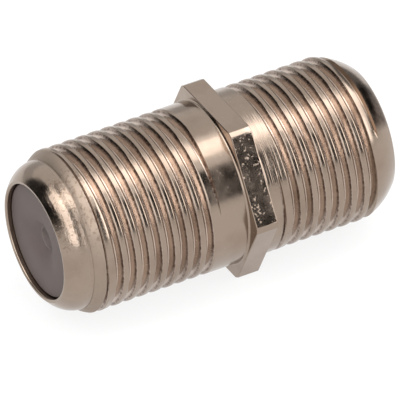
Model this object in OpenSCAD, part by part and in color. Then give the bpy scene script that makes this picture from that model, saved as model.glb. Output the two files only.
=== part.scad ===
// Double-ended female F coupler for coaxial cable.
// One turned and plated shell carries a fine outside thread on both barrels and a hexagon
// between them. Inside it two plastic insulators hold one sprung centre contact.
// The coupler lies on a flat of its hexagon: +Z is up, +X runs along the axis towards the
// short end, and the origin is at the middle of the bottom of the bounding box.

/* [Barrels] */
// Length of the long barrel, from its end face to the hexagon
long_barrel = 10.8; // [9:0.1:16]
// Length of the short barrel, from its end face to the hexagon
short_barrel = 8.25; // [8:0.05:14]
// Diameter of the plain collar behind the long end's nose
collar_d = 9.4; // [9.3:0.05:9.6]
// Diameter of the bore that the insulators fill
bore_d = 7.4; // [7:0.05:7.6]
// Diameter of the opening in both end faces
opening_d = 6.6; // [6:0.05:6.8]
// Depth of the insulator's face below the end face
face_recess = 0.3; // [0.15:0.05:0.35]

/* [Thread] */
// Diameter over the crests of the thread, and of the plain necks beside the hexagon
crest_d = 9.35; // [9.2:0.05:9.5]
// Threads per inch
threads_per_inch = 32; // [28:1:40]
// Depth of the thread groove
thread_depth = 0.34; // [0.2:0.02:0.4]
// Width of the flat at the bottom of the groove
root_flat = 0.05; // [0.02:0.01:0.1]
// Length of the plain collar between the long end's shoulder and its thread
collar_length = 0.1; // [0.1:0.02:1.5]
// Distance from the short end face to the middle of its first full groove
short_thread_start = 1.54; // [1.4:0.02:2.5]
// Least length of plain neck between the long thread and the hexagon
long_neck = 1.6; // [0.5:0.1:3]
// Least length of plain neck between the short thread and the hexagon
short_neck = 0.8; // [0.5:0.1:3]

/* [Long end nose] */
// Length of the skirt that is rolled in over the insulator
skirt_length = 1.4; // [1.1:0.05:1.7]
// Thickness of the rolled skirt
skirt_wall = 0.58; // [0.5:0.01:0.62]
// Distance from the end face to the knee, about which the skirt is rolled in
skirt_knee = 0.6; // [0.4:0.05:0.8]
// Depth of the step where the skirt begins
skirt_step = 0.08; // [0.04:0.02:0.16]
// Length of the rounded shoulder between the skirt and the collar
shoulder_length = 0.75; // [0.4:0.05:1]
// How far the shoulder bulges beyond a straight taper
shoulder_bulge = 0.05; // [0.02:0.01:0.06]

/* [Short end nose] */
// Length of the rounded nose
nose_length = 1.7; // [1.5:0.05:2.2]
// Outside diameter of the flat ring on the end face
nose_face_d = 7.36; // [7:0.04:7.8]
// Thickness of the square lip that stops the insulator
lip_wall = 0.8; // [0.6:0.05:1.2]
// How far the nose bulges beyond a straight taper
nose_bulge = 0.13; // [0.05:0.01:0.2]

/* [Hexagon] */
// Width across the flats
hex_flats = 9.7; // [9.6:0.1:11]
// Thickness of the hexagon
hex_thickness = 1.3; // [1:0.05:4]
// How much the turned corners fall short of the full corner, on the radius
corner_loss = 0.1; // [0.05:0.01:0.3]
// Size of the chamfer on the corners
corner_chamfer = 0.1; // [0.05:0.01:0.3]

/* [Insulators] */
// Diameter of the hole that guides the cable's centre conductor in
guide_hole_d = 1.3; // [1.15:0.05:1.6]
// Depth of the straight part of the guide hole
guide_depth = 1.2; // [0.8:0.1:2]
// Diameter of the funnel's mouth
funnel_d = 3.6; // [2.5:0.1:5]
// Depth of the funnel
funnel_depth = 0.5; // [0.3:0.05:0.9]
// Length of the socket and spigot where the two insulators meet
spigot_length = 1.2; // [0.6:0.1:2]
// Wall of the spigot
spigot_wall = 0.7; // [0.5:0.05:1]
// Clearance between an insulator and the metal round it, on the radius
insulator_gap = 0.04; // [0.02:0.01:0.08]

/* [Centre contact] */
// Outside diameter of the rolled sleeve
sleeve_d = 2.2; // [1.9:0.05:2.6]
// Thickness of the spring strip
strip = 0.2; // [0.12:0.02:0.26]
// Bore of the pinched waist that grips the conductor
waist_d = 0.6; // [0.5:0.05:0.8]
// Bore of the flared mouth
mouth_d = 1.2; // [1.1:0.05:1.4]
// Length of the spring fingers at each end
finger_length = 5; // [3:0.1:6]
// Distance from the mouth to the waist
waist_inset = 0.9; // [0.7:0.1:1.5]
// Number of fingers at each end
fingers = 4; // [3:1:6]
// Width of the slots between the fingers and of the seam
slot = 0.2; // [0.1:0.02:0.26]
// Free space at each end of the contact, so that it can settle
end_play = 0.1; // [0.05:0.05:0.3]

/* [Hidden] */
$fn = 96;

nickel = [0.66, 0.58, 0.51];
plastic = [0.55, 0.53, 0.53];
bronze = [0.72, 0.52, 0.30];

INCH = 25.4;
HALF_FLANK = 30;    // half of the thread's 60 degree form
CURVE_STEPS = 8;    // straight pieces that stand for one rounded stretch
EDGE_ROUND = 0.08;  // bevel on the edges of both openings
RIM_FLAT = 0.1;     // width of the flat ring left on the long end face
SLIVER = 0.01;      // how far a cutter runs past what it cuts

pitch = INCH / threads_per_inch;
groove_half = root_flat / 2 + thread_depth * tan(HALF_FLANK);
length = long_barrel + hex_thickness + short_barrel;
x_long = -length / 2;                  // the long end face
x_hex = x_long + long_barrel;          // the hexagon's face on the long side
shoulder_end = skirt_length + shoulder_length;
collar_end = shoulder_end + collar_length;
long_thread_start = collar_end + groove_half;
axis_height = hex_flats / 2;
crest_r = crest_d / 2;
collar_r = collar_d / 2;
bore_r = bore_d / 2;
opening_r = opening_d / 2;
lip_r = opening_r + EDGE_ROUND;        // inner edge of the flat end faces
rim_r = lip_r + RIM_FLAT;              // outer edge of the long end face

// The rolled skirt keeps its thickness from the bore round to the lip.
skirt_foot_r = bore_r + skirt_wall;
lip_depth = skirt_wall;                // the lip is as deep as the skirt is thick

// The insulators meet half way along the coupler.
core_r = bore_r - insulator_gap;
boss_r = opening_r - insulator_gap;
sleeve_r = sleeve_d / 2;
chamber_r = sleeve_r + insulator_gap;
hole_end = face_recess + funnel_depth + guide_depth;
spigot_r = chamber_r + spigot_wall;

contact_length = length - 2 * (hole_end + end_play);

function mix(a, b, t) = a + (b - a) * t;

// Points from p to q on a shallow curve that stands out by bulge at its middle.
function bulged(p, q, bulge) =
    let (chord = q - p, out = [chord[1], -chord[0]] / norm(chord))
    [for (i = [0 : CURVE_STEPS]) let (t = i / CURVE_STEPS)
        mix(p, q, t) + out * bulge * 4 * t * (1 - t)];

// Points from p to q on a curve that is drawn towards the knee between them.
function rolled(p, knee, q) =
    [for (i = [0 : CURVE_STEPS]) let (t = i / CURVE_STEPS)
        mix(mix(p, knee, t), mix(knee, q, t), t)];

// Middles of the grooves that fit on a barrel, measured from its end face.
function grooves(start, barrel, neck) =
    [for (at = [start : pitch : barrel - neck - groove_half]) at];

// Lays what was drawn along Z down along the coupler's axis.
module on_axis(x = 0) {
    translate([x, 0, axis_height]) rotate([0, 90, 0]) children();
}

// Turns the short end round, so that its profile is measured from its own end face.
module from_short_end() {
    translate([0, length]) mirror([0, 1]) children();
}

// One V groove of the thread. It is drawn as a ring at the thread's pitch, so that the
// crests between the rings stay true cylinders.
module groove_profile(at) {
    deep = crest_r - thread_depth;
    over = collar_r - crest_r + thread_depth;
    wide = groove_half + over * tan(HALF_FLANK);
    polygon([
        [crest_r + over, at - wide], [deep, at - root_flat / 2],
        [deep, at + root_flat / 2], [crest_r + over, at + wide],
    ]);
}

// Half section of the long barrel: rolled skirt, shoulder, collar, thread and neck.
module long_barrel_profile() {
    difference() {
        polygon(concat(
            [[0, 0], [lip_r, 0]],
            rolled([rim_r, 0], [skirt_foot_r, skirt_knee], [skirt_foot_r, skirt_length]),
            bulged([skirt_foot_r + skirt_step, skirt_length], [collar_r, shoulder_end],
                   shoulder_bulge),
            [[collar_r, collar_end], [crest_r, long_thread_start],
             [crest_r, long_barrel + hex_thickness / 2], [0, long_barrel + hex_thickness / 2]]
        ));
        for (at = grooves(long_thread_start, long_barrel, long_neck)) groove_profile(at);
    }
}

// Half section of the short barrel, measured from its own end face.
module short_barrel_profile() {
    difference() {
        polygon(concat(
            [[0, 0], [lip_r, 0]],
            bulged([nose_face_d / 2, 0], [crest_r, nose_length], nose_bulge),
            [[crest_r, short_barrel + hex_thickness / 2], [0, short_barrel + hex_thickness / 2]]
        ));
        for (at = grooves(short_thread_start, short_barrel, short_neck)) groove_profile(at);
    }
}

// Half section of the hole through the shell. The long end opens out under its rolled
// skirt, and the short end has a square lip.
module bore_profile() {
    polygon([
        [0, -SLIVER], [lip_r + SLIVER, -SLIVER], [opening_r, EDGE_ROUND],
        [opening_r, lip_depth], [bore_r, skirt_length],
        [bore_r, length - lip_wall], [opening_r, length - lip_wall],
        [opening_r, length - EDGE_ROUND], [lip_r + SLIVER, length + SLIVER],
        [0, length + SLIVER],
    ]);
}

// Hexagon with one flat downwards and its corners turned off.
module hexagon() {
    corner_r = axis_height / cos(30);
    turned_r = corner_r - corner_loss;
    intersection() {
        linear_extrude(hex_thickness) circle(r = corner_r, $fn = 6);
        rotate_extrude() polygon([
            [0, 0], [turned_r - corner_chamfer, 0], [turned_r, corner_chamfer],
            [turned_r, hex_thickness - corner_chamfer],
            [turned_r - corner_chamfer, hex_thickness], [0, hex_thickness],
        ]);
    }
}

module shell() {
    color(nickel) difference() {
        union() {
            on_axis(x_long) rotate_extrude() {
                long_barrel_profile();
                from_short_end() short_barrel_profile();
            }
            on_axis(x_hex) rotate(90) hexagon();
        }
        on_axis(x_long) rotate_extrude() bore_profile();
    }
}

// Half section of the hollow in an insulator, from its face inwards: funnel, guide hole
// and contact chamber.
module insulator_hollow(depth) {
    hole_r = guide_hole_d / 2;
    guide_start = face_recess + funnel_depth;
    polygon([
        [0, face_recess - SLIVER], [funnel_d / 2, face_recess - SLIVER],
        [funnel_d / 2, face_recess], [hole_r, guide_start], [hole_r, hole_end],
        [chamber_r, hole_end], [chamber_r, depth + SLIVER], [0, depth + SLIVER],
    ]);
}

// The insulator that the rolled skirt holds in. Its shoulder is coned like the skirt, and
// it ends in a spigot.
module long_end_insulator() {
    butt = length / 2;
    tip = butt + spigot_length;
    color(plastic) on_axis(x_long) rotate_extrude() difference() {
        polygon([
            [0, face_recess], [boss_r, face_recess], [boss_r, lip_depth],
            [core_r, skirt_length], [core_r, butt], [spigot_r, butt],
            [spigot_r, tip], [0, tip],
        ]);
        insulator_hollow(tip);
    }
}

// The insulator that rests on the square lip. It is bored out for the other's spigot.
module short_end_insulator() {
    butt = length / 2 - insulator_gap;
    socket_r = spigot_r + insulator_gap;
    socket_end = length / 2 - spigot_length - insulator_gap;
    seat = lip_wall + insulator_gap;
    color(plastic) on_axis(x_long) rotate_extrude() from_short_end() difference() {
        polygon([
            [0, face_recess], [boss_r, face_recess], [boss_r, seat],
            [core_r, seat], [core_r, butt], [0, butt],
        ]);
        insulator_hollow(butt);
        translate([0, socket_end]) square([socket_r, butt - socket_end + SLIVER]);
    }
}

// Half section of the contact, from one flared mouth to the other.
module contact_profile() {
    tip = [[mouth_d / 2, 0], [waist_d / 2, waist_inset], [sleeve_r - strip, finger_length]];
    inside = concat(tip, [for (i = [len(tip) - 1 : -1 : 0])
        [tip[i][0], contact_length - tip[i][1]]]);
    polygon(concat(inside, [for (i = [len(inside) - 1 : -1 : 0]) inside[i] + [strip, 0]]));
}

// One strip of spring bronze, rolled to a sleeve with an open seam and slotted at both ends.
module centre_contact() {
    half = contact_length / 2;
    color(bronze) on_axis() rotate(45) difference() {
        translate([0, 0, -half]) rotate_extrude() contact_profile();
        for (end = [0, 1], i = [0 : fingers - 1]) mirror([0, 0, end])
            rotate(i * 360 / fingers) translate([0, -slot / 2, -half - SLIVER])
                cube([sleeve_r + SLIVER, slot, finger_length]);
        translate([0, -slot / 2, -half - SLIVER])
            cube([sleeve_r + SLIVER, slot, contact_length + 2 * SLIVER]);
    }
}

shell();
long_end_insulator();
short_end_insulator();
centre_contact();
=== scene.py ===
"""Visual model of a double-ended female F coupler.

The coupler lies on a flat of its hexagon, with its axis along X and its long barrel
towards -X. Everything is in metres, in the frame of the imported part.
"""
import math

import bmesh
import bpy
from mathutils import Matrix, Vector


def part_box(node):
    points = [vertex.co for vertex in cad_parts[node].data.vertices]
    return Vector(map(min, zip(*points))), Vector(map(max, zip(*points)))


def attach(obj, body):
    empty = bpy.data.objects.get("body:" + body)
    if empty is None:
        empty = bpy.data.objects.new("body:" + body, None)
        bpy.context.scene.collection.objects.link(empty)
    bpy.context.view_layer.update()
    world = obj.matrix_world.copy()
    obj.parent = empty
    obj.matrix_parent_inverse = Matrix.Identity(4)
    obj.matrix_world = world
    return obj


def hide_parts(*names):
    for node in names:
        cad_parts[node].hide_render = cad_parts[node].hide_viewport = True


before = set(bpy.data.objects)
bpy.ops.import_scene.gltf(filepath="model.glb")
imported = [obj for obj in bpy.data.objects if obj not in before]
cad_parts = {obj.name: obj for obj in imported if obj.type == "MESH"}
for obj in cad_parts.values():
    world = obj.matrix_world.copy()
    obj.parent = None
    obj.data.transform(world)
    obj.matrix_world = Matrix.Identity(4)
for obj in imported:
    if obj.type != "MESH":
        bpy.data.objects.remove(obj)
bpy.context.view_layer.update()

bl_info = {
    "name": "F Coupler",
    "version": (1, 0, 0),
    "blender": (4, 5, 0),
    "location": "View3D > Sidebar > F Coupler",
    "description": "Builds a plated F coupler with its thread, insulators and studio",
    "category": "Add Mesh",
}

MM = 0.001
SHELL_LOW, SHELL_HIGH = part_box("shell")
AXIS_Z = (SHELL_LOW.z + SHELL_HIGH.z) / 2
LONG_FACE, SHORT_FACE = SHELL_LOW.x, SHELL_HIGH.x
INCH = 25.4 * MM
LIP = 0.8 * MM               # thickness of the square lip at the short end
LIP_CONE = 0.5 * MM          # where the rolled skirt's inside begins to widen
FIT_GAP = 0.04 * MM          # clearance between the insulators and the shell
HEX_ONLY = 4.86 * MM         # only the hexagon is wider than this radius
PITTED_FLAT = 150            # direction of the hexagon's flat in front, in degrees
BUMP = 0.004 * MM            # height that a bump of 1 stands for

# The scored line between shoulder and collar, in mm: place behind the shoulder's end
# and drop below the collar.
SCORED_LINE = ((-0.18, 0.03), (-0.12, 0.13), (-0.05, 0.02), (0.1, 0.0))

FLOOR_HALF = 0.6             # half of the floor's width
FLOOR_GAP = 0.02 * MM
LAMP_PLACE = (0.0, -0.038, 0.30)
LAMP_SIZE = (0.42, 0.12)


# ---------------------------------------------------------------- settings

def length(name, description, default_mm):
    """A size in metres, given here in millimetres."""
    return bpy.props.FloatProperty(
        name=name, description=description, default=default_mm * MM,
        min=0.0, precision=5, unit="LENGTH")


def tint(name, description, default):
    """A colour in linear light."""
    return bpy.props.FloatVectorProperty(
        name=name, description=description, default=default,
        subtype="COLOR", size=3, min=0.0, max=1.0)


def share(name, description, default):
    """A number from 0 to 1."""
    return bpy.props.FloatProperty(
        name=name, description=description, default=default,
        min=0.0, max=1.0, subtype="FACTOR")


def turn(name, description, default_deg):
    """An angle, given here in degrees."""
    return bpy.props.FloatProperty(
        name=name, description=description, default=math.radians(default_deg),
        subtype="ANGLE")


class ShellSettings(bpy.types.PropertyGroup):
    """Sizes of the turned shell."""
    long_barrel: length("Long barrel", "From the long end face to the hexagon", 10.8)
    short_barrel: length("Short barrel", "From the short end face to the hexagon", 8.25)
    crest: length("Crest radius", "Radius over the thread's crests", 4.675)
    collar: length("Collar radius", "Radius of the collar behind the long nose", 4.7)
    opening: length("Opening radius", "Radius of the opening in both faces", 3.3)
    bore: length("Bore radius", "Radius of the bore behind the lips", 3.7)
    edge: length("Edge round", "Radius left on the edges of the openings", 0.1)
    skirt: length("Skirt length", "Length of the rolled skirt on the long end", 1.4)
    knee: length("Skirt knee", "From the end face to the knee of the skirt's curve", 0.6)
    skirt_foot: length("Skirt foot radius", "Radius where the skirt begins", 4.28)
    step: length("Skirt step", "Step down from the barrel to the skirt", 0.02)
    shoulder: length("Shoulder length", "Length of the shoulder behind the skirt", 0.75)
    nose: length("Nose length", "Length of the short end's nose", 1.7)
    nose_face: length("Nose face", "Outer radius of the flat on the short end face", 3.68)
    flats: length("Half flats", "Half of the width across the flats", 4.85)
    corners: length("Corner radius", "Radius of the turned corners", 5.5)
    hex_edge: length("Hexagon edge", "Round on the hexagon's edges", 0.05)
    fillet: length("Neck fillet", "Fillet between the necks and the hexagon", 0.12)
    segments: bpy.props.IntProperty(
        name="Segments", description="Faces round the shell", default=256, min=48)


class ThreadSettings(bpy.types.PropertyGroup):
    """Sizes of the thread."""
    per_inch: bpy.props.FloatProperty(
        name="Threads per inch", description="Turns of the thread in an inch",
        default=32.0, min=20.0, max=48.0)
    depth: length("Depth", "Depth of the groove", 0.42)
    root: length("Root flat", "Width of the groove's bottom", 0.05)
    crest_round: length("Crest round", "Radius of the rounding on the crests' edges", 0.1)
    long_phase: length("Long phase", "Where the long groove faces the camera", 2.726)
    short_phase: length("Short phase", "Where the short groove faces the camera", 1.136)
    steps: bpy.props.IntProperty(
        name="Steps", description="Cuts along one turn of the groove",
        default=180, min=24)


class FinishSettings(bpy.types.PropertyGroup):
    """Colours and finish of each material."""
    nickel: tint("Nickel", "Colour of the plating", (0.335, 0.265, 0.213))
    tarnish: tint("Tarnish", "Colour of the plating where it is soiled", (0.2, 0.135, 0.095))
    # painted reflection: a lighter colour given to the plating in the thread's grooves
    cut: tint("Cut", "Colour of the plating in the thread's grooves", (0.54, 0.445, 0.38))
    # painted shade: colour of the dark band below the crests' edges, also used darker for the
    # painted dark reflection on the short nose
    painted_shade: tint("Dirt", "Colour of the dirt below the crests' edges", (0.1, 0.06, 0.042))
    # painted shade: the insulators' colour is set much darker than their white plastic
    plastic: tint("Plastic", "Colour of the insulators", (0.118, 0.091, 0.085))
    bronze: tint("Bronze", "Colour of the spring contact", (0.72, 0.46, 0.24))
    gloss: share("Gloss", "Roughness of the plating", 0.14)


class StudioSettings(bpy.types.PropertyGroup):
    """Camera and light."""
    lean: turn("Lean", "How far the long end leans towards the camera", 21.4)
    height: turn("Height", "How far up round the axis the camera stands", 38.6)
    rise: turn("Rise", "Slope of the axis across the picture", 19.07)
    lens: bpy.props.FloatProperty(
        name="Lens", description="Focal length in millimetres", default=1800.0)
    frame_width: length("Frame width", "Width that the picture covers", 21.83)
    drop: length("Drop", "How far the aim lies below the coupler's middle", 0.815)
    slide: length("Slide", "How far the aim lies behind the coupler's middle", 0.05)
    lamp: bpy.props.FloatProperty(
        name="Lamp", description="Radiance of the softbox", default=1.9, min=0.0)


# ---------------------------------------------------------------- small helpers

def settings():
    """The coupler's settings in this scene."""
    return bpy.context.scene.f_coupler


def along(u):
    """The X of a place that lies u behind the long end face."""
    return LONG_FACE + u


def ring_point(x, radius, angle):
    """A point round the coupler's axis. The angle runs from +Y towards +Z."""
    return Vector((x, radius * math.cos(angle), AXIS_Z + radius * math.sin(angle)))


def bulged(start, end, bulge, steps=10):
    """Points between two (x, radius) places on a shallow outward curve."""
    run, rise = end[0] - start[0], end[1] - start[1]
    size = math.hypot(run, rise)
    out = (-rise / size, run / size)
    points = []
    for i in range(steps + 1):
        t = i / steps
        lift = bulge * 4 * t * (1 - t)
        points.append((start[0] + run * t + out[0] * lift,
                       start[1] + rise * t + out[1] * lift))
    return points


def rolled(start, knee, end, steps=16):
    """Points between two (x, radius) places on a curve drawn towards the knee."""
    points = []
    for i in range(steps + 1):
        t = i / steps
        points.append(tuple(
            a * (1 - t) ** 2 + b * 2 * t * (1 - t) + c * t ** 2
            for a, b, c in zip(start, knee, end)))
    return points


def arc(centre, radius, first, last, steps=6):
    """Points on an arc in the (x, radius) plane, with its angles in degrees."""
    points = []
    for i in range(steps + 1):
        a = math.radians(first + (last - first) * i / steps)
        points.append((centre[0] + radius * math.cos(a), centre[1] + radius * math.sin(a)))
    return points


def new_object(name, mesh):
    """A new object that is linked to the scene."""
    obj = bpy.data.objects.new(name, mesh)
    bpy.context.scene.collection.objects.link(obj)
    return obj


def mesh_from(bm, name):
    """Turns a bmesh into a mesh with outward faces, and frees it."""
    bmesh.ops.remove_doubles(bm, verts=bm.verts, dist=1e-8)
    bmesh.ops.recalc_face_normals(bm, faces=bm.faces)
    mesh = bpy.data.meshes.new(name)
    bm.to_mesh(mesh)
    bm.free()
    return mesh


def revolve(name, outline, segments):
    """Turns a closed outline of (x, radius) places round the coupler's axis.

    Places on the axis, with a radius of 0, become single points.
    """
    bm = bmesh.new()
    rings = []
    for x, radius in outline:
        if radius < 1e-9:
            rings.append([bm.verts.new(ring_point(x, 0, 0))] * segments)
        else:
            rings.append([bm.verts.new(ring_point(x, radius, 2 * math.pi * i / segments))
                          for i in range(segments)])
    for one, other in zip(rings, rings[1:] + rings[:1]):
        for i in range(segments):
            j = (i + 1) % segments
            corners = []
            for v in (one[i], one[j], other[j], other[i]):
                if v not in corners:
                    corners.append(v)
            if len(corners) > 2:
                bm.faces.new(corners)
    return mesh_from(bm, name)


def shade(mesh, limit_deg=28):
    """Smooth shading with sharp edges where faces meet at more than the limit."""
    mesh.shade_smooth()
    bm = bmesh.new()
    bm.from_mesh(mesh)
    for edge in bm.edges:
        edge.smooth = edge.calc_face_angle(0.0) < math.radians(limit_deg)
    bm.to_mesh(mesh)
    bm.free()


def true_normals(mesh):
    """Gives cylinders and flats the normals of the true surface, not of their facets."""
    normals = [Vector(corner.vector) for corner in mesh.corner_normals]
    for face in mesh.polygons:
        places = [mesh.vertices[mesh.loops[i].vertex_index].co for i in face.loop_indices]
        radial = [Vector((0, p.y, p.z - AXIS_Z)) for p in places]
        sizes = [r.length for r in radial]
        outward = sum(radial, Vector()).normalized().dot(face.normal)
        turned = math.degrees(math.atan2(face.normal.z, face.normal.y))
        off_flat = abs(turned % 60 - 30)
        if abs(face.normal.x) > 0.999:
            for i in face.loop_indices:
                normals[i] = face.normal
        elif max(sizes) > HEX_ONLY:
            if abs(face.normal.x) < 0.001 and off_flat < 0.2:
                for i in face.loop_indices:
                    normals[i] = face.normal
        elif max(sizes) - min(sizes) < 0.0015 * MM and abs(outward) > 0.99:
            sign = 1 if outward > 0 else -1
            for i, r in zip(face.loop_indices, radial):
                normals[i] = r.normalized() * sign
    mesh.normals_split_custom_set(normals)


def apply_modifiers(obj):
    """Replaces an object's mesh with its evaluated one and drops its modifiers."""
    graph = bpy.context.evaluated_depsgraph_get()
    mesh = bpy.data.meshes.new_from_object(obj.evaluated_get(graph))
    obj.modifiers.clear()
    old, obj.data = obj.data, mesh
    bpy.data.meshes.remove(old)
    return mesh


# ---------------------------------------------------------------- node helpers

class Tree:
    """Short ways to add and join nodes."""

    def __init__(self, tree):
        self.nodes, self.links = tree.nodes, tree.links

    def add(self, kind, inputs=None, **attributes):
        node = self.nodes.new(kind)
        for key, value in attributes.items():
            setattr(node, key, value)
        for key, value in (inputs or {}).items():
            self.feed(node, key, value)
        return node

    def feed(self, node, key, value):
        socket = node.inputs[key]
        if isinstance(value, bpy.types.NodeSocket):
            self.links.new(value, socket)
        elif hasattr(value, "outputs"):
            self.links.new(value.outputs[0], socket)
        else:
            socket.default_value = value

    def math(self, operation, a, b=0.0, c=0.0, clamp=False):
        node = self.add("ShaderNodeMath", {0: a, 1: b, 2: c}, operation=operation)
        node.use_clamp = clamp
        return node.outputs[0]

    def spread(self, value, low, high, to_low=0.0, to_high=1.0):
        """Carries a value from one range to another, held at both ends."""
        node = self.add("ShaderNodeMapRange", {
            "Value": value, "From Min": low, "From Max": high,
            "To Min": to_low, "To Max": to_high})
        return node.outputs[0]

    def band(self, value, rise, full, fall, gone):
        """1 between full and fall, and 0 below rise and above gone."""
        return self.math("MULTIPLY", self.spread(value, rise, full),
                         self.spread(value, fall, gone, 1.0, 0.0))

    def noise(self, place, scale, detail, roughness=0.5):
        """Even noise at a scale in cells per metre."""
        return self.add("ShaderNodeTexNoise", {
            "Vector": place, "Scale": scale, "Detail": detail,
            "Roughness": roughness}).outputs[0]

    def stretched(self, place, x, across, detail, roughness=0.5):
        """Noise drawn out round the axis into rings."""
        drawn = self.add("ShaderNodeMapping", {
            "Vector": place, "Scale": (x, across, across)}).outputs[0]
        return self.noise(drawn, 1.0, detail, roughness)

    def bump(self, height, strength, distance=BUMP):
        """A normal from a height."""
        return self.add("ShaderNodeBump", {
            "Height": height, "Strength": strength, "Distance": distance})

    def round_axis(self, place):
        """A place's parts, its height over the coupler's axis and its radius."""
        parts = self.add("ShaderNodeSeparateXYZ", {"Vector": place}).outputs
        high = self.math("SUBTRACT", parts["Z"], AXIS_Z)
        radius = self.math("SQRT", self.math("MULTIPLY_ADD", high, high, self.math(
            "MULTIPLY", parts["Y"], parts["Y"])))
        return parts, high, radius

    def towards(self, parts, high, degrees):
        """How far a place lies from the axis in one direction round it."""
        angle = math.radians(degrees)
        return self.math("MULTIPLY_ADD", parts["Y"], math.cos(angle), self.math(
            "MULTIPLY", high, math.sin(angle)))

    def mix(self, factor, one, other):
        """Mixes two colours."""
        node = self.add("ShaderNodeMix", data_type="RGBA")
        self.feed(node, 0, factor)
        self.feed(node, 6, one)
        self.feed(node, 7, other)
        return node.outputs[2]


def group_sockets(tree, inputs, outputs):
    """Adds named sockets to a node group: name, socket type, default."""
    for name, kind, default in inputs:
        socket = tree.interface.new_socket(name, in_out="INPUT", socket_type=kind)
        if default is not None:
            socket.default_value = default
    for name, kind in outputs:
        tree.interface.new_socket(name, in_out="OUTPUT", socket_type=kind)


def rgb(colour):
    """A colour with an alpha of 1."""
    return (*colour, 1.0)


# ---------------------------------------------------------------- materials

def plating_group():
    """Turning marks, pitting and the soft waviness of barrel plating."""
    tree = bpy.data.node_groups.new("PlatingWear", "ShaderNodeTree")
    group_sockets(
        tree,
        [("Marks", "NodeSocketFloat", 1.0), ("Pits", "NodeSocketFloat", 1.0),
         ("Waviness", "NodeSocketFloat", 1.0)],
        [("Height", "NodeSocketFloat"), ("Dull", "NodeSocketFloat")])
    t = Tree(tree)
    given = t.add("NodeGroupInput")
    place = t.add("ShaderNodeTexCoord").outputs["Object"]
    marks = t.stretched(place, 40000.0, 300.0, 3.0, 0.6)
    waves = t.noise(place, 900.0, 2.0)
    grain = t.noise(place, 9000.0, 4.0, 0.65)
    pits = t.spread(grain, 0.62, 0.72)
    height = t.math("MULTIPLY", marks, given.outputs["Marks"])
    height = t.math("MULTIPLY_ADD", waves, given.outputs["Waviness"], height)
    height = t.math("SUBTRACT", height,
                    t.math("MULTIPLY", pits, given.outputs["Pits"]))
    dull = t.math("MULTIPLY_ADD", pits, 0.5,
                  t.spread(waves, 0.35, 0.7, 0.0, 0.5), clamp=True)
    t.add("NodeGroupOutput", {"Height": height, "Dull": dull})
    return tree


def material(name):
    """A new empty material, and its node tree."""
    made = bpy.data.materials.new(name)
    made.use_nodes = True
    made.node_tree.nodes.clear()
    return made, Tree(made.node_tree)


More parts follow.
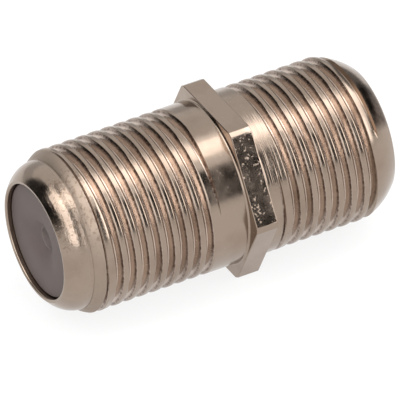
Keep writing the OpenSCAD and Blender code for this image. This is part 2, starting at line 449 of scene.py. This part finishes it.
def nickel_material(wear):
    """Warm bright nickel, a little duller in the grooves, with painted shade as a dark band
    below the crests' edges, a lighter groove colour as painted reflection and a painted dark
    reflection on the short nose.
    """
    finish, shell = settings().finish, settings().shell
    made, t = material("plated_nickel")
    place = t.add("ShaderNodeTexCoord").outputs["Object"]
    parts, high, radius = t.round_axis(place)
    x = parts["X"]
    grain = t.noise(place, 5200.0, 3.0, 0.6)
    stain = t.noise(place, 420.0, 3.0, 0.6)

    # where the thread is, how deep in mm a place lies in it, and its flanks
    grooved = t.math("LESS_THAN", t.math("ABSOLUTE", t.math(
        "ADD", x, -0.075 * MM)), 8.325 * MM)
    depth = t.math("DIVIDE", t.math("SUBTRACT", shell.crest, radius), MM)
    sunk = t.math("MULTIPLY", grooved, t.spread(depth, 0.02, 0.08))
    # painted shade: a dark band just below the crests' edges, broken up by grain
    crest_edge_shade = t.math("MULTIPLY", sunk, t.band(depth, 0.03, 0.07, 0.14, 0.22))
    crest_edge_shade = t.math("MULTIPLY", crest_edge_shade, t.spread(grain, 0.35, 0.6, 1.0, 0.4))

    # the long end's skirt, blotched on its upper side
    nose = t.spread(x, along(2.6 * MM), along(1.9 * MM))
    upper = t.spread(t.math("DIVIDE", t.towards(parts, high, 127), radius), 0.83, 0.9)
    nose = t.math("MULTIPLY", nose, t.math("MULTIPLY_ADD", upper, 0.85, 0.15))
    blotches = t.math("MULTIPLY", nose, t.spread(grain, 0.52, 0.62))
    soiled = t.spread(stain, 0.45, 0.75, 0.0, 0.4)
    soiled = t.math("MAXIMUM", soiled, t.math("MULTIPLY", blotches, 0.6))

    # painted dark reflection: a dark patch on the short end's nose, on its side towards the
    # camera
    beside = t.math("DIVIDE", t.towards(parts, high, 126), radius)
    dark_reflection = t.math("MULTIPLY", t.spread(beside, 0.93, 0.97), t.band(
        x, SHORT_FACE - 1.1 * MM, SHORT_FACE - 0.85 * MM,
        SHORT_FACE - 0.15 * MM, SHORT_FACE - 0.02 * MM))
    dark_reflection = t.math("MULTIPLY", dark_reflection, t.spread(grain, 0.3, 0.55, 1.0, 0.75))

    # painted reflection: the grooves are coloured lighter than the crests
    colour = t.mix(sunk, rgb(finish.nickel), rgb(finish.cut))
    colour = t.mix(soiled, colour, rgb(finish.tarnish))
    colour = t.mix(crest_edge_shade, colour, rgb(finish.painted_shade))
    colour = t.mix(dark_reflection, colour, rgb([c * 0.5 for c in finish.painted_shade]))

    worn = t.add("ShaderNodeGroup", node_tree=wear)
    for name, value in (("Marks", 0.5), ("Pits", 0.6), ("Waviness", 1.0)):
        worn.inputs[name].default_value = value
    roughness = t.spread(worn.outputs["Dull"], 0.0, 1.0, finish.gloss, finish.gloss + 0.2)
    roughness = t.math("MULTIPLY_ADD", sunk, 0.04, roughness)
    shoulder = t.band(x, along(1.2 * MM), along(1.5 * MM), along(1.9 * MM), along(2.1 * MM))
    roughness = t.math("MULTIPLY_ADD", shoulder, 0.3, roughness)

    # one flat of the hexagon is left pitted
    flat = t.math("GREATER_THAN", t.towards(parts, high, PITTED_FLAT),
                  shell.flats - 0.03 * MM)
    flat = t.math("MULTIPLY", flat, t.math("LESS_THAN", t.math("ABSOLUTE", t.math(
        "SUBTRACT", x, 1.275 * MM)), 0.6 * MM))
    chips = t.math("MULTIPLY", t.spread(grain, 0.62, 0.7), flat)
    plain = t.math("SUBTRACT", 1.0, flat)
    rough = t.math("MULTIPLY_ADD", nose, 9.0, t.math("MULTIPLY", sunk, 5.0))
    height = t.math("MULTIPLY_ADD", grain, rough, worn.outputs["Height"])
    height = t.math("MULTIPLY_ADD", chips, 14.0, height)

    # fine rings scored beside the hexagon where the short thread starts
    scores = t.stretched(place, 8000.0, 250.0, 2.0)
    neck_start = SHORT_FACE - shell.short_barrel
    scored = t.band(x, neck_start, neck_start + 0.3 * MM,
                    neck_start + 0.9 * MM, neck_start + 1.6 * MM)
    scored = t.math("MULTIPLY", plain, t.math("MULTIPLY_ADD", scored, 16.0, rough))
    height = t.math("MULTIPLY_ADD", scores, scored, height)
    surface = t.add("ShaderNodeBsdfPrincipled", {
        "Base Color": colour, "Metallic": 1.0, "Roughness": roughness,
        "Normal": t.bump(height, 0.35)})
    t.add("ShaderNodeOutputMaterial", {"Surface": surface})
    return made


def plastic_material():
    """Natural moulded plastic, a little cloudy; its colour is darkened as painted shade and
    lightened in the guide hole as painted light.
    """
    made, t = material("moulded_plastic")
    place = t.add("ShaderNodeTexCoord").outputs["Object"]
    cloud = t.noise(place, 500.0, 3.0)
    base = settings().finish.plastic
    colour = t.mix(t.spread(cloud, 0.3, 0.7), rgb([c * 0.85 for c in base]), rgb(base))
    radius = t.round_axis(place)[2]
    # painted light: the plastic in the guide hole is lightened against the shade inside it
    hole_painted_light = (base[0] * 2.0, base[1] * 2.2, base[2] * 2.2)
    colour = t.mix(t.spread(radius, 0.68 * MM, 0.64 * MM), colour, rgb(hole_painted_light))
    bump = t.bump(t.noise(place, 6000.0, 2.0), 0.3)
    surface = t.add("ShaderNodeBsdfPrincipled", {
        "Base Color": colour, "Roughness": 0.6, "Specular IOR Level": 0.3,
        "Normal": bump})
    t.add("ShaderNodeOutputMaterial", {"Surface": surface})
    return made


def bronze_material(wear):
    """Bare spring bronze."""
    made, t = material("spring_bronze")
    worn = t.add("ShaderNodeGroup", node_tree=wear)
    base = settings().finish.bronze
    colour = t.mix(worn.outputs["Dull"], rgb(base), rgb([c * 0.55 for c in base]))
    bump = t.bump(worn.outputs["Height"], 0.3, 0.003 * MM)
    surface = t.add("ShaderNodeBsdfPrincipled", {
        "Base Color": colour, "Metallic": 1.0, "Roughness": 0.3, "Normal": bump})
    t.add("ShaderNodeOutputMaterial", {"Surface": surface})
    return made


def materials():
    """The three finishes, made once."""
    if "plated_nickel" not in bpy.data.materials:
        wear = plating_group()
        nickel_material(wear)
        plastic_material()
        bronze_material(wear)
    return bpy.data.materials


# ---------------------------------------------------------------- shell

def shell_outline(s):
    """Closed outline of the turned blank, from the long lip round to the bore."""
    total = SHORT_FACE - LONG_FACE
    hex_front, hex_back = s.long_barrel, total - s.short_barrel
    rim = s.opening + s.edge
    shoulder_end = s.skirt + s.shoulder
    land = 0.08 * MM
    outside = arc((s.edge, rim), s.edge, 270, 180)
    outside += rolled((0.0, rim + land), (s.knee, s.skirt_foot), (s.skirt, s.skirt_foot))
    line = [(shoulder_end + x * MM, s.collar - drop * MM) for x, drop in SCORED_LINE]
    outside += bulged((s.skirt, s.skirt_foot + s.step), line[0], 0.03 * MM)
    outside += line[1:] + [(shoulder_end + 0.3 * MM, s.crest)]
    fillet_r = s.crest + s.fillet
    outside += arc((hex_front - s.fillet, fillet_r), s.fillet, 270, 360)
    outside += [(hex_front + 0.2 * MM, fillet_r), (hex_back - 0.2 * MM, fillet_r)]
    outside += arc((hex_back + s.fillet, fillet_r), s.fillet, 180, 270)
    outside += reversed([(total - x, r) for x, r in
                         bulged((0.0, s.nose_face), (s.nose, s.crest), 0.13 * MM)])
    outside += arc((total - s.edge, rim), s.edge, 0, -90)
    inside = [(total - LIP, s.opening), (total - LIP, s.bore),
              (s.skirt, s.bore), (LIP_CONE, s.opening)]
    return [(along(x), r) for x, r in outside + inside]


def hexagon_mesh(s):
    """The hexagon with a flat downwards, its corners turned off and its edges eased."""
    total = SHORT_FACE - LONG_FACE
    front, back = along(s.long_barrel), along(total - s.short_barrel)
    bm = bmesh.new()
    gap = math.pi / 6 - math.acos(s.flats / s.corners)
    angles = []
    for k in range(6):
        middle = math.radians(60 * k)
        angles += [middle - gap, middle, middle + gap]
    ends = [[bm.verts.new(ring_point(x, s.corners, a)) for a in angles]
            for x in (front, back)]
    bm.faces.new(ends[0])
    bm.faces.new(list(reversed(ends[1])))
    for i in range(len(angles)):
        j = (i + 1) % len(angles)
        bm.faces.new((ends[0][i], ends[1][i], ends[1][j], ends[0][j]))
    bmesh.ops.recalc_face_normals(bm, faces=bm.faces)
    edges = [e for e in bm.edges if e.calc_face_angle(0.0) > math.radians(15)]
    bmesh.ops.bevel(bm, geom=edges, offset=s.hex_edge, segments=3, profile=0.5,
                    affect="EDGES", clamp_overlap=True)
    return mesh_from(bm, "hexagon")


def groove_tree():
    """Geometry Nodes: cuts one helical V groove into whatever mesh it is given.

    The groove follows a helix round the coupler's axis. It is lifted clear of the metal
    at both ends, so it runs in and out as a cut thread does.
    """
    tree = bpy.data.node_groups.new("HelicalGroove", "GeometryNodeTree")
    group_sockets(tree, [
        ("Geometry", "NodeSocketGeometry", None),
        ("Start X", "NodeSocketFloat", 0.0),
        ("Start Angle", "NodeSocketFloat", 0.0),
        ("Turns", "NodeSocketFloat", 10.0),
        ("Pitch", "NodeSocketFloat", 0.79375 * MM),
        ("Axis Height", "NodeSocketFloat", 4.85 * MM),
        ("Crest Radius", "NodeSocketFloat", 4.65 * MM),
        ("Depth", "NodeSocketFloat", 0.34 * MM),
        ("Root Flat", "NodeSocketFloat", 0.05 * MM),
        ("Crest Round", "NodeSocketFloat", 0.24 * MM),
        ("Run In", "NodeSocketFloat", 0.5),
        ("Run Out", "NodeSocketFloat", 0.3),
        ("Steps", "NodeSocketInt", 1000),
        ("Material", "NodeSocketMaterial", None),
    ], [("Geometry", "NodeSocketGeometry")])
    t = Tree(tree)
    given = t.add("NodeGroupInput").outputs

    # the path: a helix that starts and ends lifted out of the metal
    line = t.add("GeometryNodeCurvePrimitiveLine")
    path = t.add("GeometryNodeResampleCurve", {"Curve": line, "Count": given["Steps"]})
    gone = t.add("GeometryNodeSplineParameter").outputs["Factor"]
    turned = t.math("MULTIPLY", gone, given["Turns"])
    left = t.math("SUBTRACT", given["Turns"], turned)
    sunk_in = t.math("DIVIDE", turned, given["Run In"], clamp=True)
    sunk_out = t.math("DIVIDE", left, given["Run Out"], clamp=True)
    lift = t.math("SUBTRACT", 1.0, t.math("MINIMUM", sunk_in, sunk_out))
    clear = t.math("MULTIPLY", given["Depth"], 1.25)
    radius = t.math("MULTIPLY_ADD", lift, clear, given["Crest Radius"])
    angle = t.math("MULTIPLY_ADD", turned, 2 * math.pi, given["Start Angle"])
    across, up = t.math("COSINE", angle), t.math("SINE", angle)
    outward = t.add("ShaderNodeCombineXYZ", {"X": 0.0, "Y": across, "Z": up})
    spot = t.add("ShaderNodeCombineXYZ", {
        "X": t.math("MULTIPLY_ADD", turned, given["Pitch"], given["Start X"]),
        "Y": t.math("MULTIPLY", radius, across),
        "Z": t.math("MULTIPLY_ADD", radius, up, given["Axis Height"])})
    path = t.add("GeometryNodeSetPosition", {"Geometry": path, "Position": spot})
    path = t.add("GeometryNodeSetCurveNormal", {"Curve": path}, mode="FREE")
    t.feed(path, "Normal", outward)

    # the cutter's outline: root, flank, rounded crest edge and a part outside the metal
    lean = math.radians(60)
    half_root = t.math("MULTIPLY", given["Root Flat"], 0.5)
    round_drop = t.math("MULTIPLY", given["Crest Round"], 1 - math.cos(lean))
    straight = t.math("SUBTRACT", given["Depth"], round_drop)
    flank = t.math("MULTIPLY_ADD", straight, 1 / math.tan(lean), half_root)
    below = t.math("MULTIPLY", given["Depth"], -1.0)
    half_outline = [(half_root, below)]
    for step in range(5):
        tilt = lean * (1 - step / 4)
        half_outline.append((
            t.math("MULTIPLY_ADD", given["Crest Round"], math.sin(lean) - math.sin(tilt), flank),
            t.math("MULTIPLY", given["Crest Round"], math.cos(tilt) - 1)))
    outer = t.math("ADD", half_outline[-1][0], round_drop)
    half_outline.append((outer, given["Depth"]))
    count = 2 * len(half_outline)
    ring = t.add("GeometryNodeCurvePrimitiveCircle", {"Resolution": count}, mode="RADIUS")
    order = t.add("GeometryNodeIndexSwitch", data_type="VECTOR")
    while len(order.index_switch_items) < count:
        order.index_switch_items.new()
    t.feed(order, "Index", t.add("GeometryNodeInputIndex"))
    corners = [(x, y, -1.0) for x, y in half_outline]
    corners += [(x, y, 1.0) for x, y in reversed(half_outline)]
    for i, (x, y, side) in enumerate(corners):
        corner = t.add("ShaderNodeCombineXYZ", {"X": y, "Y": t.math("MULTIPLY", x, side)})
        t.feed(order, i + 1, corner)
    profile = t.add("GeometryNodeSetPosition", {"Geometry": ring, "Position": order})
    cutter = t.add("GeometryNodeCurveToMesh", {
        "Curve": path, "Profile Curve": profile, "Fill Caps": True})

    cut = t.add("GeometryNodeMeshBoolean", operation="DIFFERENCE", solver="EXACT")
    t.feed(cut, "Mesh 1", given["Geometry"])
    t.feed(cut, "Mesh 2", cutter)
    whole = t.add("GeometryNodeRealizeInstances", {"Geometry": cut.outputs["Mesh"]})
    dressed = t.add("GeometryNodeSetMaterial", {
        "Geometry": whole, "Material": given["Material"]})
    t.add("NodeGroupOutput", {"Geometry": dressed})
    return tree


def cut_groove(obj, tree, values):
    """Adds the groove to an object as a modifier whose inputs are set by identifier."""
    modifier = obj.modifiers.new("groove", "NODES")
    modifier.node_group = tree
    for item in tree.interface.items_tree:
        if item.in_out == "INPUT" and item.name in values:
            modifier[item.identifier] = values[item.name]


class FCOUPLER_OT_shell(bpy.types.Operator):
    """Builds the plated shell: blank, hexagon and both helical threads"""
    bl_idname = "fcoupler.shell"
    bl_label = "Shell"

    def execute(self, context):
        s, thread = settings().shell, settings().thread
        nickel = materials()["plated_nickel"]
        blank = new_object("coupler_shell", revolve("shell", shell_outline(s), s.segments))
        hexagon = new_object("hexagon_tool", hexagon_mesh(s))
        union = blank.modifiers.new("hexagon", "BOOLEAN")
        union.operation, union.solver, union.object = "UNION", "EXACT", hexagon
        apply_modifiers(blank)
        bpy.data.objects.remove(hexagon)

        tree = groove_tree()
        pitch = INCH / thread.per_inch
        facing = math.pi - settings().studio.height
        # middle of the groove in front, first turn, turns, run in and run out
        barrels = ((along(thread.long_phase), -1.0, 9.12, 0.3, 0.25),
                   (SHORT_FACE - thread.short_phase, -8.15, 8.2, 0.6, 0.04))
        for middle, first, turns, run_in, run_out in barrels:
            cut_groove(blank, tree, {
                "Pitch": pitch, "Axis Height": AXIS_Z, "Crest Radius": s.crest,
                "Depth": thread.depth, "Root Flat": thread.root,
                "Crest Round": thread.crest_round, "Material": nickel,
                "Start X": middle + first * pitch,
                "Start Angle": facing + 2 * math.pi * first,
                "Turns": turns, "Run In": run_in, "Run Out": run_out,
                "Steps": int(turns * thread.steps)})
        mesh = apply_modifiers(blank)
        shade(mesh)
        true_normals(mesh)
        if not mesh.materials:
            mesh.materials.append(nickel)
        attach(blank, "root")
        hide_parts("shell")
        return {"FINISHED"}


# ---------------------------------------------------------------- insulators and contact

def insulator_mesh(name, from_face, direction, reach, seat_start, seat_end):
    """An insulator turned round the axis: dished face, guide hole, boss and shoulder."""
    s = settings().shell
    boss, core = s.opening - FIT_GAP, s.bore - FIT_GAP
    depth = 2.0 * MM
    hole, chamber = 0.65 * MM, 1.14 * MM
    face, edge = 0.3 * MM, 0.06 * MM
    outline = [(depth, hole), (0.8 * MM, hole), (face + 0.16 * MM, 1.15 * MM),
               (face + 0.02 * MM, 1.8 * MM), (face, 2.2 * MM)]
    outline += arc((face + edge, boss - edge), edge, 180, 90)
    outline += [(seat_start, boss), (seat_end, core), (reach, core),
                (reach, chamber), (depth, chamber)]
    placed = [(from_face + direction * x, r) for x, r in outline]
    return revolve(name, placed, s.segments)


class FCOUPLER_OT_insulators(bpy.types.Operator):
    """Builds both insulators, with their dished faces and guide holes"""
    bl_idname = "fcoupler.insulators"
    bl_label = "Insulators"

    def execute(self, context):
        s = settings().shell
        half = (SHORT_FACE - LONG_FACE) / 2
        ends = [
            ("long_insulator", "long_end_insulator", LONG_FACE, 1, half, LIP_CONE, s.skirt),
            ("short_insulator", "short_end_insulator", SHORT_FACE, -1, half - FIT_GAP,
             LIP + FIT_GAP, LIP + FIT_GAP),
        ]
        for name, node, face, direction, reach, start, end in ends:
            mesh = insulator_mesh(name, face, direction, reach, start, end)
            mesh.materials.append(materials()["moulded_plastic"])
            shade(mesh)
            piece = new_object(name, mesh)
            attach(piece, "root")
            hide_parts(node)
        return {"FINISHED"}


class FCOUPLER_OT_contact(bpy.types.Operator):
    """Gives the spring contact its bare bronze"""
    bl_idname = "fcoupler.contact"
    bl_label = "Centre contact"

    def execute(self, context):
        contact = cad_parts["centre_contact"]
        contact.data.materials.clear()
        contact.data.materials.append(materials()["spring_bronze"])
        return {"FINISHED"}


# ---------------------------------------------------------------- stage

def camera_axes(studio):
    """The camera's right, up and back directions."""
    facing = Vector((0, -math.cos(studio.height), math.sin(studio.height)))
    back = facing * math.cos(studio.lean) - Vector((1, 0, 0)) * math.sin(studio.lean)
    axis = Vector((1, 0, 0)) - back * back.x
    axis.normalize()
    right = Matrix.Rotation(-studio.rise, 3, back) @ axis
    return right, back.cross(right), back


def make_camera(studio):
    """A long lens, so that the coupler is seen almost without perspective."""
    right, up, back = camera_axes(studio)
    data = bpy.data.cameras.new("camera")
    data.lens, data.sensor_width = studio.lens, 36.0
    camera = bpy.data.objects.new("camera", data)
    bpy.context.scene.collection.objects.link(camera)
    aim = Vector((studio.slide, 0, AXIS_Z)) - up * studio.drop
    distance = studio.frame_width * studio.lens / data.sensor_width
    place = Matrix((right, up, back)).transposed().to_4x4()
    place.translation = aim + back * distance
    camera.matrix_world = place
    data.clip_start, data.clip_end = 0.01, 2.0
    bpy.context.scene.camera = camera


def card_group():
    """One card of the studio: it sets the radiance inside a window of two angles."""
    tree = bpy.data.node_groups.new("StudioCard", "ShaderNodeTree")
    numbers = ("Radiance", "Side", "Round", "Side From", "Side To", "Round From",
               "Round To", "Level")
    group_sockets(tree, [(name, "NodeSocketFloat", 0.0) for name in numbers],
                  [("Radiance", "NodeSocketFloat")])
    t = Tree(tree)
    given = t.add("NodeGroupInput").outputs
    soft = 2.5
    inside = 1.0
    for angle in ("Side", "Round"):
        past = t.math("SUBTRACT", given[angle], given[angle + " From"])
        short = t.math("SUBTRACT", given[angle + " To"], given[angle])
        nearest = t.math("MINIMUM", past, short)
        inside = t.math("MULTIPLY", inside, t.spread(nearest, -soft, soft))
    change = t.math("SUBTRACT", given["Level"], given["Radiance"])
    t.add("NodeGroupOutput", {
        "Radiance": t.math("MULTIPLY_ADD", change, inside, given["Radiance"])})
    return tree


# Cards round the coupler: side angle from and to (towards +X), angle round the axis from
# and to (0 in front, 90 overhead, 180 behind), and radiance.
CARDS = (
    (-95, 95, -60, 103, 1.0),     # pale wall in front and above
    (-2, 33, -60, 103, 1.75),     # its brighter part, which the barrels show
    (-26, 35, 103, 163, 0.97),    # room behind
    (-35, 35, 163, 185, 0.66),    # the far end of the room
    (28, 60, 56, 113, 3.8),       # strip light above the flag
    (31, 60, -60, 60, 4.6),       # strip light right of the flag
    (12, 30, -60, 56, 0.0),       # black flag beside the camera
    (24, 30, 53, 80, 0.0),        # the flag's raised edge
    (60, 95, -60, 240, 0.03),     # dark doorway on the right
    (-52, -19, 8, 114, 3.0),      # window on the left
    (-19, -9, 0, 112, 0.12),      # the window's dark frame
    (-95, -52, 50, 240, 0.01),    # dark doorway on the left
    (-60, -26, 118, 178, 0.02),   # dark corner behind on the left
)


def make_world():
    """The room: a pale wall, black flags and a white horizon."""
    world = bpy.data.worlds.new("studio")
    world.use_nodes = True
    world.node_tree.nodes.clear()
    t = Tree(world.node_tree)
    way = t.add("ShaderNodeTexCoord").outputs["Generated"]
    parts = t.add("ShaderNodeSeparateXYZ", {"Vector": way}).outputs
    side = t.math("DEGREES", t.math("ARCSINE", parts["X"]))
    front = t.math("MULTIPLY", parts["Y"], -1.0)
    around = t.math("DEGREES", t.math("ARCTAN2", parts["Z"], front))
    card = card_group()
    radiance = 0.22
    for side_from, side_to, round_from, round_to, level in CARDS:
        placed = t.add("ShaderNodeGroup", node_tree=card)
        values = {"Radiance": radiance, "Side": side, "Round": around,
                  "Side From": side_from, "Side To": side_to,
                  "Round From": round_from, "Round To": round_to, "Level": level}
        for key, value in values.items():
            t.feed(placed, key, value)
        radiance = placed.outputs[0]
    low = t.math("MULTIPLY", t.spread(parts["Z"], 0.11, 0.145, 1.0, 0.0),
                 t.spread(parts["Y"], 0.3, 0.5, 1.0, 0.0))
    radiance = t.math("MULTIPLY_ADD", t.math("SUBTRACT", 1.0, radiance), low, radiance)
    background = t.add("ShaderNodeBackground", {
        "Color": (1.0, 1.0, 1.0, 1.0), "Strength": radiance})
    t.add("ShaderNodeOutputWorld", {"Surface": background})
    bpy.context.scene.world = world


def make_floor():
    """A pale floor, shown white with a faint shadow to the camera and in reflections."""
    bm = bmesh.new()
    bmesh.ops.create_grid(bm, x_segments=1, y_segments=1, size=FLOOR_HALF)
    mesh = bpy.data.meshes.new("floor")
    bm.to_mesh(mesh)
    bm.free()
    floor = new_object("floor", mesh)
    floor.location.z = -FLOOR_GAP
    made, t = material("pale_floor")
    rays = t.add("ShaderNodeLightPath").outputs
    seen = t.math("MAXIMUM", rays["Is Camera Ray"], t.math(
        "MAXIMUM", rays["Is Glossy Ray"], rays["Is Transmission Ray"]))
    matt = t.add("ShaderNodeBsdfDiffuse", {"Color": (0.16, 0.16, 0.16, 1.0)})
    glow = t.add("ShaderNodeEmission", {"Color": (1, 1, 1, 1), "Strength": 0.84})
    shown = t.add("ShaderNodeAddShader", {0: matt, 1: glow})
    plain = t.add("ShaderNodeBsdfDiffuse", {"Color": (0.75, 0.75, 0.74, 1.0)})
    surface = t.add("ShaderNodeMixShader", {0: seen, 1: plain, 2: shown})
    t.add("ShaderNodeOutputMaterial", {"Surface": surface})
    mesh.materials.append(made)


def make_lamp(name, place, size, radiance, colour):
    """A softbox of a given radiance that hangs level above the coupler."""
    data = bpy.data.lights.new(name, "AREA")
    data.shape, data.size, data.size_y = "RECTANGLE", size[0], size[1]
    data.color = colour
    data.energy = radiance * math.pi * size[0] * size[1]
    lamp = bpy.data.objects.new(name, data)
    bpy.context.scene.collection.objects.link(lamp)
    lamp.location = place


class FCOUPLER_OT_stage(bpy.types.Operator):
    """Sets up the camera, floor, softbox and surroundings"""
    bl_idname = "fcoupler.stage"
    bl_label = "Stage"

    def execute(self, context):
        studio = settings().studio
        make_camera(studio)
        make_world()
        make_floor()
        make_lamp("softbox", LAMP_PLACE, LAMP_SIZE, studio.lamp, (1.0, 0.98, 0.95))
        context.scene.view_settings.view_transform = "Standard"
        return {"FINISHED"}


# ---------------------------------------------------------------- add-on

class CouplerSettings(bpy.types.PropertyGroup):
    """All settings of the coupler."""
    shell: bpy.props.PointerProperty(type=ShellSettings)
    thread: bpy.props.PointerProperty(type=ThreadSettings)
    finish: bpy.props.PointerProperty(type=FinishSettings)
    studio: bpy.props.PointerProperty(type=StudioSettings)


class FCOUPLER_PT_panel(bpy.types.Panel):
    """Lists the coupler's pieces"""
    bl_idname = "FCOUPLER_PT_panel"
    bl_label = "F Coupler"
    bl_space_type = "VIEW_3D"
    bl_region_type = "UI"
    bl_category = "F Coupler"

    def draw(self, context):
        for operator in OPERATORS:
            self.layout.operator(operator.bl_idname)


OPERATORS = (FCOUPLER_OT_stage, FCOUPLER_OT_shell, FCOUPLER_OT_insulators,
             FCOUPLER_OT_contact)
CLASSES = (ShellSettings, ThreadSettings, FinishSettings, StudioSettings,
           CouplerSettings, *OPERATORS, FCOUPLER_PT_panel)


def register():
    for cls in CLASSES:
        bpy.utils.register_class(cls)
    bpy.types.Scene.f_coupler = bpy.props.PointerProperty(type=CouplerSettings)


def unregister():
    del bpy.types.Scene.f_coupler
    for cls in reversed(CLASSES):
        bpy.utils.unregister_class(cls)


def main():
    register()
    bpy.ops.fcoupler.stage()
    bpy.ops.fcoupler.shell()
    bpy.ops.fcoupler.insulators()
    bpy.ops.fcoupler.contact()


if __name__ == "__main__":
    main()
